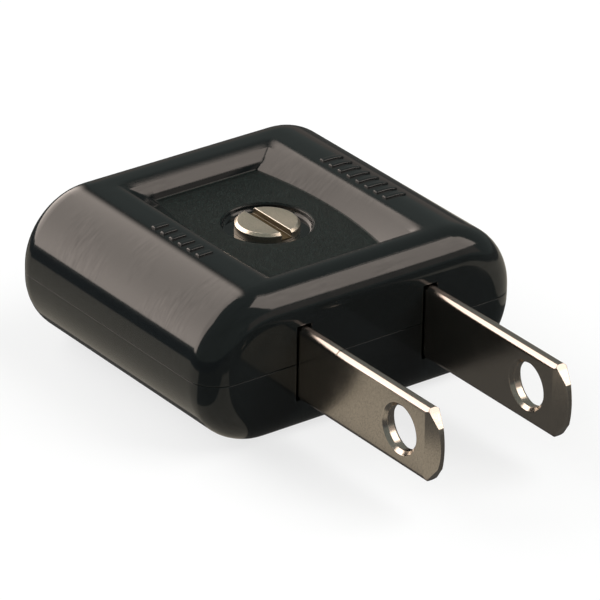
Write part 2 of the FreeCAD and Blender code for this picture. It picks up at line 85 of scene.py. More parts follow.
class PlasticLook(bpy.types.PropertyGroup):
    colour: FloatVectorProperty(
        name="Colour", description="Colour of the glossy black shells",
        subtype="COLOR", default=(0.0068, 0.0086, 0.0088), min=0, max=1)
    floor_colour: FloatVectorProperty(
        name="Recess floor colour", description="Colour of the textured recess floor",
        subtype="COLOR", default=(0.0035, 0.006, 0.0055), min=0, max=1)
    roughness: FloatProperty(
        name="Roughness", description="Roughness of the polished skin", default=0.06, min=0, max=1)
    floor_roughness: FloatProperty(
        name="Recess floor roughness", description="Roughness of the textured recess floor",
        default=0.42, min=0, max=1)
    speck_roughness: FloatProperty(
        name="Speck roughness", description="Roughness of the specks on the recess floor",
        default=0.6, min=0, max=1)
    speck_lift: FloatProperty(
        name="Speck lift", description="How many times paler the specks are than the recess floor",
        default=3.5, min=0)
    rubbed_lift: FloatProperty(
        name="Rubbed edge lift", description="How many times paler the rubbed edges are than the skin",
        default=2.2, min=0)
    shine: FloatProperty(
        name="Shine", description="Strength of reflections on the polished skin",
        default=0.5, min=0, max=1)
    hairline_shine: FloatProperty(
        name="Hairline shine", description="How far fine rubbed lines raise and lower the skin's shine",
        default=0.5, min=0, max=2)
    floor_shine: FloatProperty(
        name="Recess floor shine", description="Strength of reflections on the textured recess floor",
        default=0.15, min=0, max=1)
    corner_shine: FloatProperty(
        name="Corner shine", description="Strength of reflections in the recess's dull back left corner",
        default=0.03, min=0, max=1)
    edge_softness: FloatProperty(
        name="Edge softness", description="Radius of the small rounds on moulded edges",
        subtype="DISTANCE", unit="LENGTH", default=0.18 * MM, min=0)
    rim_softness: FloatProperty(
        name="Rim softness", description="Radius of the rounds where the flat top meets the recess",
        subtype="DISTANCE", unit="LENGTH", default=1.3 * MM, min=0)
    step_softness: FloatProperty(
        name="Step softness", description="Radius of the round above the steep foot of the back wall",
        subtype="DISTANCE", unit="LENGTH", default=0.3 * MM, min=0)
    foot_softness: FloatProperty(
        name="Foot softness", description="Radius of the crisp creases around the recess's floor",
        subtype="DISTANCE", unit="LENGTH", default=0.01 * MM, min=0)
    seam_softness: FloatProperty(
        name="Seam softness", description="Radius of the rounds at the seam between the shells",
        subtype="DISTANCE", unit="LENGTH", default=0.08 * MM, min=0)
    scuff_depth: FloatProperty(
        name="Scuff depth", description="Depth of the handling scuffs on the polished skin",
        subtype="DISTANCE", unit="LENGTH", default=0.004 * MM, min=0)
    grain_depth: FloatProperty(
        name="Grain depth", description="Depth of the grain on the recess floor",
        subtype="DISTANCE", unit="LENGTH", default=0.012 * MM, min=0)


class MetalLook(bpy.types.PropertyGroup):
    nickel: FloatVectorProperty(
        name="Nickel", description="Colour of the plated blade faces",
        subtype="COLOR", default=(0.66, 0.60, 0.53), min=0, max=1)
    sheared: FloatVectorProperty(
        name="Sheared edge", description="Colour of the stamped edges of the blades",
        subtype="COLOR", default=(0.52, 0.46, 0.42), min=0, max=1)
    screw: FloatVectorProperty(
        name="Screw", description="Colour of the screw and its nut",
        subtype="COLOR", default=(0.86, 0.77, 0.64), min=0, max=1)
    brass: FloatVectorProperty(
        name="Brass", description="Colour of the sleeves and rivets",
        subtype="COLOR", default=(0.72, 0.53, 0.25), min=0, max=1)
    steel: FloatVectorProperty(
        name="Steel", description="Colour of the spring clips",
        subtype="COLOR", default=(0.50, 0.50, 0.51), min=0, max=1)
    speck_share: FloatProperty(
        name="Speck share", description="Share of the metal's colour that the small specks keep",
        default=0.82, min=0, max=1)
    worn_lift: FloatProperty(
        name="Worn edge lift", description="How many times paler the worn edges are than the metal",
        default=1.5, min=0)
    roughness: FloatProperty(
        name="Roughness", description="Roughness of the plated blade faces", default=0.13, min=0, max=1)
    screw_roughness: FloatProperty(
        name="Screw roughness", description="Roughness of the screw, its nut and the inner contacts",
        default=0.24, min=0, max=1)
    edge_roughness: FloatProperty(
        name="Edge roughness", description="Roughness of the stamped edges", default=0.22, min=0, max=1)
    edge_softness: FloatProperty(
        name="Edge softness", description="Radius of the small rounds on the metal's edges",
        subtype="DISTANCE", unit="LENGTH", default=0.08 * MM, min=0)
    mark_depth: FloatProperty(
        name="Mark depth", description="Depth of the fine rolling marks",
        subtype="DISTANCE", unit="LENGTH", default=0.003 * MM, min=0)
    # A small dark mark is painted across a blade's top edge.
    dark_mark_place: FloatVectorProperty(
        name="Dark mark", description="Middle of the small dark mark across a blade's top edge, in millimetres",
        subtype="XYZ", default=(-6.3, -5.0, 3.2))
    dark_mark_half: FloatVectorProperty(
        name="Dark mark size", description="Half the size of the dark mark along each axis, in millimetres",
        subtype="XYZ", default=(0.9, 0.05, 0.35))
    dark_mark_colour: FloatVectorProperty(
        name="Dark mark colour", description="Colour of the dark mark",
        subtype="COLOR", default=(0.02, 0.02, 0.02), min=0, max=1)
    # The slot settings paint shade into the screw's slot as a dark, dull patch.
    slot_place: FloatVectorProperty(
        name="Slot", description="Middle of the painted shade in the screw's slot, in millimetres",
        subtype="XYZ", default=(0, 13.7, 4.95))
    slot_half: FloatVectorProperty(
        name="Slot size", description="Half the size of the painted shade along each axis, in millimetres",
        subtype="XYZ", default=(0.52, 3.2, 0.27))
    slot_painted_shade: FloatVectorProperty(
        name="Slot shade", description="Colour of the dull metal with painted shade in the screw's slot",
        subtype="COLOR", default=(0.10, 0.08, 0.045), min=0, max=1)
    slot_roughness: FloatProperty(
        name="Slot roughness", description="Roughness in the slot's painted shade",
        default=0.5, min=0, max=1)


class RimRibs(bpy.types.PropertyGroup):
    left_count: IntProperty(
        name="Left ribs", description="Ribs in the row on the left rim", default=6, min=2)
    right_count: IntProperty(
        name="Right ribs", description="Ribs in the row on the right rim", default=8, min=2)
    left_start: FloatProperty(
        name="Left row start", description="Front face to the first rib of the left row",
        subtype="DISTANCE", unit="LENGTH", default=9.5 * MM)
    right_start: FloatProperty(
        name="Right row start", description="Front face to the first rib of the right row",
        subtype="DISTANCE", unit="LENGTH", default=9.4 * MM)
    pitch: FloatProperty(
        name="Pitch", description="Distance from rib to rib",
        subtype="DISTANCE", unit="LENGTH", default=1.22 * MM, min=0.1 * MM)
    width: FloatProperty(
        name="Width", description="Width of one rib along the rim",
        subtype="DISTANCE", unit="LENGTH", default=0.5 * MM, min=0.05 * MM)
    height: FloatProperty(
        name="Height", description="How far a rib stands above the rim",
        subtype="DISTANCE", unit="LENGTH", default=0.15 * MM, min=0.01 * MM)
    sunk: FloatProperty(
        name="Sunk", description="How far a rib's foot goes into the shell",
        subtype="DISTANCE", unit="LENGTH", default=0.1 * MM, min=0.01 * MM)
    round_share: FloatProperty(
        name="Rounding", description="Size of the round on a rib's top edges as a share of its height",
        default=0.45, min=0.05, max=0.9)
    left_inner: FloatProperty(
        name="Left inner end", description="Inner ends of the left ribs from the middle",
        subtype="DISTANCE", unit="LENGTH", default=8.7 * MM)
    left_outer: FloatProperty(
        name="Left outer end", description="Outer ends of the left ribs from the middle",
        subtype="DISTANCE", unit="LENGTH", default=10.1 * MM)
    right_inner: FloatProperty(
        name="Right inner end", description="Inner ends of the right ribs from the middle",
        subtype="DISTANCE", unit="LENGTH", default=8.7 * MM)
    right_outer: FloatProperty(
        name="Right outer end", description="Outer ends of the right ribs from the middle",
        subtype="DISTANCE", unit="LENGTH", default=10.8 * MM)


class StudioSet(bpy.types.PropertyGroup):
    azimuth: FloatProperty(
        name="Camera azimuth", description="Turn of the camera about Z from the front",
        subtype="ANGLE", unit="ROTATION", default=math.radians(-37.0551))
    elevation: FloatProperty(
        name="Camera elevation", description="Height angle of the camera",
        subtype="ANGLE", unit="ROTATION", default=math.radians(26.9668))
    roll: FloatProperty(
        name="Camera roll", description="Turn of the camera about its own axis",
        subtype="ANGLE", unit="ROTATION", default=math.radians(1.039))
    distance: FloatProperty(
        name="Camera distance", description="Camera to the point it looks at",
        subtype="DISTANCE", unit="LENGTH", default=437.4081 * MM)
    target: FloatVectorProperty(
        name="Target", description="Point the camera looks at",
        subtype="XYZ", unit="LENGTH", default=(-6.8452 * MM, 0, 5.7254 * MM))
    lens: FloatProperty(
        name="Lens", description="Focal length in millimetres", default=330.5076)
    sensor: FloatProperty(
        name="Sensor", description="Width of the camera's sensor in millimetres", default=36)
    floor_colour: FloatVectorProperty(
        name="Floor colour", description="Colour of the pale floor",
        subtype="COLOR", default=(0.93, 0.93, 0.93), min=0, max=1)
    floor_glow: FloatProperty(
        name="Floor glow", description="Share of the floor's white that shadows don't take",
        default=0.74, min=0, max=1)
    back_light: FloatProperty(
        name="Back light", description="Brightness of the soft box behind on the left",
        default=4.6, min=0)
    front_light: FloatProperty(
        name="Front light", description="Brightness of the soft box over the right front",
        default=4.6, min=0)
    room: FloatProperty(
        name="Room", description="Brightness of the dim room", default=0.2, min=0)
    room_colour: FloatVectorProperty(
        name="Room colour", description="Cool colour of the dim room",
        subtype="COLOR", default=(0.90, 1.0, 0.94), min=0, max=1)
    glow_colour: FloatVectorProperty(
        name="Reflector colour", description="Warm colour of the reflectors seen only in gloss",
        subtype="COLOR", default=(1.0, 0.87, 0.78), min=0, max=1)
    back_glow: FloatProperty(
        name="Back reflector", description="Brightness of the reflector behind on the left",
        default=3.6, min=0)
    front_glow: FloatProperty(
        name="Front reflector", description="Brightness of the reflector over the right front",
        default=2.9, min=0)
    low_glow: FloatProperty(
        name="Low front reflector", description="Brightness of the dim reflector low in front",
        default=0.4, min=0)
    far_glow: FloatProperty(
        name="Far reflector", description="Brightness of the dim reflector beyond the right side",
        default=0.22, min=0)
    # The table, far side and paper colours below are glows of cards that only gloss sees. They are
    # painted reflections, and the dark table stands for a table in shade.
    dark_table_glow: FloatVectorProperty(
        name="Table glow", description="Glow of the card painted as the reflection of a dark table in shade, seen only in gloss",
        subtype="COLOR", default=(0.085, 0.083, 0.078), min=0, max=1)
    far_side_glow: FloatVectorProperty(
        name="Far side glow", description="Glow of the card painted as the reflection of the dark far left of the table, seen only in gloss",
        subtype="COLOR", default=(0.05, 0.05, 0.06), min=0, max=1)
    paper_glow: FloatVectorProperty(
        name="Paper glow", description="Glow of the cards painted as reflections of grey papers, seen only in gloss",
        subtype="COLOR", default=(0.47, 0.43, 0.36), min=0, max=1)
    # Painted shade: the card by the near blade glows dimmer by this share, as if the body shaded it.
    blade_paper_shade_share: FloatProperty(
        name="Blade paper shade share", description="Share of the paper glow kept on the card by the near blade, dimmed as painted shade beside the body",
        default=0.8, min=0, max=1)


def deselect_all():
    """Leave every object unselected, so that an operator acts on the new piece alone."""
    if bpy.context.object and bpy.context.object.mode != "OBJECT":
        bpy.ops.object.mode_set(mode="OBJECT")
    bpy.ops.object.select_all(action="DESELECT")


def make_active(obj):
    """Select one object alone and make it the active one."""
    deselect_all()
    obj.select_set(True)
    bpy.context.view_layer.objects.active = obj


def select_in_mesh(obj, wanted, kind="VERT"):
    """In edit mode, select the vertices, edges or faces that a test accepts."""
    bpy.ops.object.mode_set(mode="EDIT")
    bpy.ops.mesh.select_mode(type=kind)
    bpy.ops.mesh.select_all(action="DESELECT")
    bpy.ops.object.mode_set(mode="OBJECT")
    parts = {"VERT": obj.data.vertices, "EDGE": obj.data.edges, "FACE": obj.data.polygons}[kind]
    for part in parts:
        part.select = wanted(obj.data, part)
    bpy.ops.object.mode_set(mode="EDIT")


def link(tree, source, target):
    """Join an output socket to an input socket."""
    tree.links.new(source, target)


def feed(tree, value, socket):
    """Give an input socket another node's output, a number or a colour."""
    if isinstance(value, bpy.types.NodeSocket):
        link(tree, value, socket)
    elif isinstance(value, (int, float)):
        socket.default_value = value
    else:
        socket.default_value = (*value, 1)


def node(tree, kind, **values):
    """Add a shader node; a value goes to the socket or setting of that name."""
    made = tree.nodes.new(kind)
    for name, value in values.items():
        if name in made.inputs:
            made.inputs[name].default_value = value
        else:
            setattr(made, name, value)
    return made


def maths(tree, operation, first, second=None):
    """Math node on sockets or numbers; gives its result socket."""
    made = node(tree, "ShaderNodeMath", operation=operation)
    feed(tree, first, made.inputs[0])
    if second is not None:
        feed(tree, second, made.inputs[1])
    return made.outputs[0]


def blend_values(tree, mask, first, second):
    """Value that goes from the first to the second with a mask."""
    mix = node(tree, "ShaderNodeMix", data_type="FLOAT")
    link(tree, mask, mix.inputs[MIX_FACTOR])
    for place, value in zip(MIX_VALUES, (first, second)):
        feed(tree, value, mix.inputs[place])
    return mix.outputs[MIX_VALUE_RESULT]


def blend_colours(tree, mask, first, second):
    """Colour that goes from the first to the second with a mask."""
    mix = node(tree, "ShaderNodeMix", data_type="RGBA")
    link(tree, mask, mix.inputs[MIX_FACTOR])
    for place, colour in zip(MIX_COLOURS, (first, second)):
        feed(tree, colour, mix.inputs[place])
    return mix.outputs[MIX_COLOUR_RESULT]


def smooth_step(tree, value, low, high, at_low=0.0, at_high=1.0):
    """Value that goes softly from one number, at the low value, to another, at the high one."""
    made = node(tree, "ShaderNodeMapRange", interpolation_type="SMOOTHSTEP")
    for name, number in (
        ("From Min", low), ("From Max", high), ("To Min", at_low), ("To Max", at_high),
    ):
        made.inputs[name].default_value = number
    link(tree, value, made.inputs["Value"])
    return made.outputs["Result"]


def new_group(name, inputs, outputs):
    """Empty shader node group with named sockets; gives the tree and its two ends."""
    tree = bpy.data.node_groups.new(name, "ShaderNodeTree")
    for socket_name, socket_type, default in inputs:
        socket = tree.interface.new_socket(socket_name, in_out="INPUT", socket_type=socket_type)
        if default is not None:
            socket.default_value = default
    for socket_name, socket_type in outputs:
        tree.interface.new_socket(socket_name, in_out="OUTPUT", socket_type=socket_type)
    return tree, tree.nodes.new("NodeGroupInput"), tree.nodes.new("NodeGroupOutput")


def shared_effect(tree, group_name, place=None, **values):
    """Put a shared effect into a material with its own values; place is where it reads."""
    made = tree.nodes.new("ShaderNodeGroup")
    made.node_tree = bpy.data.node_groups[group_name]
    for name, value in values.items():
        made.inputs[name].default_value = value
    if place is not None:
        link(tree, place, made.inputs["Millimetres"])
    return made


def box_mask(tree, place, **box):
    """Mask that is 1 inside a box, from its Centre, Half and Soft."""
    return shared_effect(tree, "Inside box", place, **box).outputs["Mask"]


def bump(tree, height, normal, strength, depth):
    """Add a small relief to a normal; gives the new normal."""
    made = node(tree, "ShaderNodeBump", Strength=strength, Distance=depth)
    link(tree, height, made.inputs["Height"])
    link(tree, normal, made.inputs["Normal"])
    return made.outputs["Normal"]


def scaled(colour, factor):
    """Colour made lighter or darker by a factor, no lighter than white."""
    return tuple(min(1.0, factor * channel) for channel in colour)


def object_millimetres(tree):
    """Object coordinates in millimetres, as a vector socket."""
    coordinates = node(tree, "ShaderNodeTexCoord")
    scale = node(tree, "ShaderNodeVectorMath", operation="SCALE")
    scale.inputs["Scale"].default_value = 1 / MM
    link(tree, coordinates.outputs["Object"], scale.inputs[0])
    return scale.outputs[0]


def build_speckle_group():
    """Fine pits and specks: a height and a mask from two sizes of noise."""
    tree, start, end = new_group(
        "Fine speckle",
        [("Millimetres", "NodeSocketVector", None), ("Specks", "NodeSocketFloat", 6.0)],
        [("Height", "NodeSocketFloat"), ("Mask", "NodeSocketFloat")],
    )
    fine = node(tree, "ShaderNodeTexNoise", Detail=3.0, Roughness=0.65)
    link(tree, start.outputs["Millimetres"], fine.inputs["Vector"])
    link(tree, start.outputs["Specks"], fine.inputs["Scale"])
    cells = node(tree, "ShaderNodeTexVoronoi", feature="F1")
    link(tree, start.outputs["Millimetres"], cells.inputs["Vector"])
    link(tree, start.outputs["Specks"], cells.inputs["Scale"])
    mask = smooth_step(tree, fine.outputs["Fac"], low=0.46, high=0.66)
    height = maths(tree, "ADD", fine.outputs["Fac"], cells.outputs["Distance"])
    link(tree, height, end.inputs["Height"])
    link(tree, mask, end.inputs["Mask"])


def build_scuff_group():
    """Handling scuffs: long faint streaks of another roughness."""
    tree, start, end = new_group(
        "Handling scuffs",
        [("Millimetres", "NodeSocketVector", None), ("Amount", "NodeSocketFloat", 0.1)],
        [("Roughness", "NodeSocketFloat"), ("Height", "NodeSocketFloat")],
    )
    stretch = node(tree, "ShaderNodeMapping", vector_type="POINT")
    stretch.inputs["Rotation"].default_value = (0.2, 0.1, math.radians(35))
    stretch.inputs["Scale"].default_value = (0.45, 3.2, 3.2)
    link(tree, start.outputs["Millimetres"], stretch.inputs["Vector"])
    streaks = node(tree, "ShaderNodeTexNoise", Scale=1.6, Detail=4.0, Roughness=0.6)
    link(tree, stretch.outputs["Vector"], streaks.inputs["Vector"])
    clouds = node(tree, "ShaderNodeTexNoise", Scale=0.35, Detail=2.0)
    link(tree, start.outputs["Millimetres"], clouds.inputs["Vector"])
    mixed = maths(tree, "MULTIPLY", streaks.outputs["Fac"], clouds.outputs["Fac"])
    rough = maths(tree, "MULTIPLY", mixed, start.outputs["Amount"])
    link(tree, rough, end.inputs["Roughness"])
    link(tree, streaks.outputs["Fac"], end.inputs["Height"])


def build_hairline_group():
    """Fine hairlines across the body, in patches: a streak that is above or below 0."""
    tree, start, end = new_group(
        "Cross hairlines",
        [("Millimetres", "NodeSocketVector", None), ("Fineness", "NodeSocketFloat", 5.0)],
        [("Streak", "NodeSocketFloat")],
    )
    stretch = node(tree, "ShaderNodeMapping", vector_type="POINT")
    stretch.inputs["Rotation"].default_value = (0, 0, math.radians(12))
    stretch.inputs["Scale"].default_value = (0.12, 1.0, 0.12)
    link(tree, start.outputs["Millimetres"], stretch.inputs["Vector"])
    lines = node(tree, "ShaderNodeTexNoise", Detail=2.0, Roughness=0.7)
    link(tree, stretch.outputs["Vector"], lines.inputs["Vector"])
    link(tree, start.outputs["Fineness"], lines.inputs["Scale"])
    patches = node(tree, "ShaderNodeTexNoise", Scale=0.22, Detail=1.0)
    link(tree, start.outputs["Millimetres"], patches.inputs["Vector"])
    mask = smooth_step(tree, patches.outputs["Fac"], low=0.35, high=0.65)
    centred = maths(tree, "SUBTRACT", lines.outputs["Fac"], 0.5)
    streak = maths(tree, "MULTIPLY", centred, mask)
    link(tree, streak, end.inputs["Streak"])


def build_edge_group():
    """Worn edges: a mask where the rounded normal leaves the true one."""
    tree, start, end = new_group(
        "Worn edges",
        [("Width", "NodeSocketFloat", 0.2 * MM), ("Strength", "NodeSocketFloat", 6.0)],
        [("Mask", "NodeSocketFloat")],
    )
    bevel = node(tree, "ShaderNodeBevel", samples=6)
    link(tree, start.outputs["Width"], bevel.inputs["Radius"])
    geometry = node(tree, "ShaderNodeNewGeometry")
    dot = node(tree, "ShaderNodeVectorMath", operation="DOT_PRODUCT")
    link(tree, bevel.outputs["Normal"], dot.inputs[0])
    link(tree, geometry.outputs["Normal"], dot.inputs[1])
    away = maths(tree, "SUBTRACT", 1.0, dot.outputs["Value"])
    raised = maths(tree, "MULTIPLY", away, start.outputs["Strength"])
    mask = maths(tree, "MINIMUM", raised, 1.0)
    link(tree, mask, end.inputs["Mask"])


def build_box_mask_group():
    """Mask that is 1 inside a box given by its centre and half sizes in millimetres."""
    tree, start, end = new_group(
        "Inside box",
        [
            ("Millimetres", "NodeSocketVector", None),
            ("Centre", "NodeSocketVector", (0, 0, 0)),
            ("Half", "NodeSocketVector", (1, 1, 1)),
            ("Soft", "NodeSocketFloat", 0.05),
        ],
        [("Mask", "NodeSocketFloat")],
    )
    offset = node(tree, "ShaderNodeVectorMath", operation="SUBTRACT")
    link(tree, start.outputs["Millimetres"], offset.inputs[0])
    link(tree, start.outputs["Centre"], offset.inputs[1])
    size = node(tree, "ShaderNodeVectorMath", operation="ABSOLUTE")
    link(tree, offset.outputs[0], size.inputs[0])
    room = node(tree, "ShaderNodeVectorMath", operation="SUBTRACT")
    link(tree, start.outputs["Half"], room.inputs[0])
    link(tree, size.outputs[0], room.inputs[1])
    split = node(tree, "ShaderNodeSeparateXYZ")
    link(tree, room.outputs[0], split.inputs[0])
    least = maths(tree, "MINIMUM", split.outputs["X"], split.outputs["Y"])
    least = maths(tree, "MINIMUM", least, split.outputs["Z"])
    ratio = maths(tree, "DIVIDE", least, start.outputs["Soft"])
    shifted = maths(tree, "ADD", ratio, 0.5)
    clamped = node(tree, "ShaderNodeClamp")
    link(tree, shifted, clamped.inputs["Value"])
    link(tree, clamped.outputs[0], end.inputs["Mask"])


def new_material(name, colour):
    """Material with one shader in its tree; gives the material, the tree and the shader."""
    material = bpy.data.materials.new(name)
    material.use_nodes = True
    material.diffuse_color = (*colour, 1)
    tree = material.node_tree
    shader = tree.nodes["Principled BSDF"]
    return material, tree, shader


def folded_at_seam(tree, place):
    """Coordinates with the underside folded up onto the top, and the height above the seam."""
    split = node(tree, "ShaderNodeSeparateXYZ")
    link(tree, place, split.inputs[0])
    height = maths(tree, "ABSOLUTE", split.outputs["Z"])
    folded = node(tree, "ShaderNodeCombineXYZ")
    link(tree, split.outputs["X"], folded.inputs["X"])
    link(tree, split.outputs["Y"], folded.inputs["Y"])
    link(tree, height, folded.inputs["Z"])
    return folded.outputs[0], height


def plastic_tone(tree, look, on_floor, on_specks):
    """Skin with paler rubbed edges, and recess floor with paler specks."""
    edges = shared_effect(tree, "Worn edges", Width=0.25 * MM, Strength=2.0)
    pale_specks = scaled(look.floor_colour, look.speck_lift)
    floor_tone = blend_colours(tree, on_specks, look.floor_colour, pale_specks)
    rubbed = scaled(look.colour, look.rubbed_lift)
    skin_tone = blend_colours(tree, edges.outputs["Mask"], look.colour, rubbed)
    return blend_colours(tree, on_floor, skin_tone, floor_tone)


def plastic_roughness(tree, look, on_floor, in_corner, on_specks, scuff):
    """Polished skin with scuffs, and a dull recess floor and corner."""
    skin = maths(tree, "ADD", scuff, look.roughness)
    floor = blend_values(tree, on_specks, look.floor_roughness, look.speck_roughness)
    rough = blend_values(tree, on_floor, skin, floor)
    return blend_values(tree, in_corner, rough, look.floor_roughness)


def plastic_shine(tree, look, on_floor, in_corner, place):
    """Strength of reflections, with hairlines in the skin's."""
    lines = shared_effect(tree, "Cross hairlines", place, Fineness=4.5)
    streak = maths(tree, "MULTIPLY", lines.outputs["Streak"], look.hairline_shine)
    skin = maths(tree, "ADD", streak, look.shine)
    shine = blend_values(tree, on_floor, skin, look.floor_shine)
    return blend_values(tree, in_corner, shine, look.corner_shine)


def plastic_softness(tree, look, folded, height):
    """Radius of the rounded edges, by where on the body they are."""
    on_rim = maths(tree, "GREATER_THAN", height, RIM_BAND_FOOT)
    on_ribs = maths(tree, "GREATER_THAN", height, RIBS_FOOT)
    on_seam = maths(tree, "LESS_THAN", height, SEAM_BAND_TOP)
    on_step = box_mask(tree, folded, **RECESS_STEP)
    on_foot = box_mask(tree, folded, **RECESS_FOOT)
    softness = look.edge_softness
    for mask, radius in (
        (on_rim, look.rim_softness),
        (on_ribs, look.seam_softness),
        (on_seam, look.seam_softness),
        (on_step, look.step_softness),
        (on_foot, look.foot_softness),
    ):
        softness = blend_values(tree, mask, softness, radius)
    return softness


def black_plastic(look):
    """Polished black plastic with soft moulded edges and a grained recess floor."""
    material, tree, shader = new_material("Black moulded plastic", look.colour)
    shader.inputs["IOR"].default_value = 1.5
    place = object_millimetres(tree)
    folded, height = folded_at_seam(tree, place)
    on_floor = box_mask(tree, folded, **RECESS_FLOOR)
    in_corner = box_mask(tree, folded, **RECESS_CORNER)
    specks = shared_effect(tree, "Fine speckle", place, Specks=7.0)
    scuffs = shared_effect(tree, "Handling scuffs", place, Amount=0.12)

    tone = plastic_tone(tree, look, on_floor, specks.outputs["Mask"])
    rough = plastic_roughness(
        tree, look, on_floor, in_corner, specks.outputs["Mask"], scuffs.outputs["Roughness"])
    shine = plastic_shine(tree, look, on_floor, in_corner, place)

    bevel = node(tree, "ShaderNodeBevel", samples=8)
    link(tree, plastic_softness(tree, look, folded, height), bevel.inputs["Radius"])
    scuffed = bump(
        tree, scuffs.outputs["Height"], bevel.outputs["Normal"], strength=0.12, depth=look.scuff_depth)
    floor_height = maths(tree, "MULTIPLY", specks.outputs["Height"], on_floor)
    grained = bump(tree, floor_height, scuffed, strength=0.7, depth=look.grain_depth)

    link(tree, tone, shader.inputs["Base Color"])
    link(tree, rough, shader.inputs["Roughness"])
    link(tree, shine, shader.inputs["Specular IOR Level"])
    link(tree, grained, shader.inputs["Normal"])
    return material


def stamped_edges(tree, place, tone, rough, look):
    """Bare sheared edges and one small dark mark painted across a blade's top edge; gives the new colour
    and roughness.
    """
    split = node(tree, "ShaderNodeSeparateXYZ")
    link(tree, place, split.inputs[0])
    up = maths(tree, "ABSOLUTE", split.outputs["Z"])
    edge = smooth_step(tree, up, low=SHEARED_START, high=SHEARED_FULL)
    tone = blend_colours(tree, edge, tone, look.sheared)
    rough = blend_values(tree, edge, rough, look.edge_roughness)
    # A small dark mark is painted across a blade's top edge.
    dark_mark_mask = box_mask(tree, place, Centre=look.dark_mark_place, Half=look.dark_mark_half, Soft=0.05)
    tone = blend_colours(tree, dark_mark_mask, tone, look.dark_mark_colour)
    return tone, rough


def slot_with_painted_shade(tree, place, tone, rough, look):
    """Painted shade in the screw's slot, dark and dull; gives the new colour and roughness."""
    # Painted shade: the slot's box is made dark and dull.
    slot = box_mask(tree, place, Centre=look.slot_place, Half=look.slot_half, Soft=0.08)
    tone = blend_colours(tree, slot, tone, look.slot_painted_shade)
    rough = blend_values(tree, slot, rough, look.slot_roughness)
    return tone, rough


def plated_metal(name, colour, roughness, look, detail=None):
    """Plated metal with rolling marks, specks and worn edges; detail adds what it alone has."""
    material, tree, shader = new_material(name, colour)
    shader.inputs["Metallic"].default_value = 1.0
    place = object_millimetres(tree)
    specks = shared_effect(tree, "Fine speckle", place, Specks=9.0)
    scuffs = shared_effect(tree, "Handling scuffs", place, Amount=0.28)
    edges = shared_effect(tree, "Worn edges", Width=0.16 * MM, Strength=3.0)
    tone = blend_colours(tree, specks.outputs["Mask"], colour, scaled(colour, look.speck_share))
    tone = blend_colours(tree, edges.outputs["Mask"], tone, scaled(colour, look.worn_lift))
    rough = maths(tree, "ADD", scuffs.outputs["Roughness"], roughness)
    if detail is not None:
        tone, rough = detail(tree, place, tone, rough, look)
    bevel = node(tree, "ShaderNodeBevel", samples=8, Radius=look.edge_softness)
    marked = bump(
        tree, specks.outputs["Height"], bevel.outputs["Normal"], strength=0.25, depth=look.mark_depth)
    link(tree, tone, shader.inputs["Base Color"])
    link(tree, rough, shader.inputs["Roughness"])
    link(tree, marked, shader.inputs["Normal"])
    return material


def dress(node_name, material):
    """Give a carried-over node its finish through its material slots."""
    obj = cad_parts[node_name]
    for slot in obj.material_slots:
        slot.material = material


def top_surface(x):
    """Height of the body's top at a distance from the middle, on its flat and side round."""
    past = abs(x) - (BODY_HIGH.x - SIDE_RADIUS)
    if past <= 0:
        return TOP_Z
    return TOP_Z - SIDE_RADIUS + math.sqrt(SIDE_RADIUS ** 2 - past ** 2)


def bend_to_rim(rib):
    """Lower each cut of a rib by as much as the body's top falls there."""
    same_cut = 2e-6
    for place in sorted({round(vertex.co.x, 6) for vertex in rib.data.vertices}):
        drop = top_surface(place) - TOP_Z
        if drop < 0:
            select_in_mesh(rib, lambda mesh, vertex: abs(vertex.co.x - place) < same_cut)
            bpy.ops.transform.translate(value=(0, 0, drop))
            bpy.ops.object.mode_set(mode="OBJECT")


def one_rib(sets, side, inner, outer, y):
    """One raised rib across a rim: a bar cut into spans, bevelled and bent to the rim."""
    deselect_all()
    centre = (side * (inner + outer) / 2, y, TOP_Z + (sets.height - sets.sunk) / 2)
    size = (outer - inner, sets.width, sets.height + sets.sunk)
    bpy.ops.mesh.primitive_cube_add(size=1, location=centre)
    rib = bpy.context.object
    bpy.ops.transform.resize(value=size)
    bpy.ops.object.transform_apply(location=True, rotation=True, scale=True)

    def is_long(mesh, edge):
        first, second = (mesh.vertices[index].co for index in edge.vertices)
        return abs(first.x - second.x) > size[0] / 2

    select_in_mesh(rib, is_long, "EDGE")
    bpy.ops.mesh.subdivide(number_cuts=5)

    def is_top(mesh, face):
        return face.normal.z > 0.9

    select_in_mesh(rib, is_top, "FACE")
    bpy.ops.mesh.region_to_loop()
    bpy.ops.mesh.bevel(offset=sets.height * sets.round_share, segments=3, affect="EDGES")
    bpy.ops.object.mode_set(mode="OBJECT")
    bend_to_rim(rib)
    return rib


def rib_row(sets, name, side, inner, outer, start, count):
    """A row of like ribs along one rim, joined into one piece."""
    first = one_rib(sets, side, inner, outer, start)
    ribs = [first]
    for index in range(1, count):
        make_active(first)
        bpy.ops.object.duplicate(linked=False)
        copy = bpy.context.object
        bpy.ops.transform.translate(value=(0, index * sets.pitch, 0))
        ribs.append(copy)
    make_active(first)
    for rib in ribs:
        rib.select_set(True)
    bpy.ops.object.join()
    bpy.ops.object.transform_apply(location=True, rotation=True, scale=True)
    bpy.ops.object.shade_smooth_by_angle(angle=math.radians(40))
    first.name = name
    first.data.name = name
    return first


class PLUG_OT_groups(bpy.types.Operator):
    """Build the shared surface effects"""
    bl_idname = "plug.groups"
    bl_label = "Build surface effects"

    def execute(self, context):
        build_speckle_group()
        build_scuff_group()
        build_hairline_group()
        build_edge_group()
        build_box_mask_group()
        return {"FINISHED"}


class PLUG_OT_shells(bpy.types.Operator):
    """Give both shells their black moulded finish"""
    bl_idname = "plug.shells"
    bl_label = "Finish the shells"

    def execute(self, context):
        material = black_plastic(context.scene.plug_plastic)
        for name in ("upper_shell", "lower_shell"):
            dress(name, material)
        return {"FINISHED"}


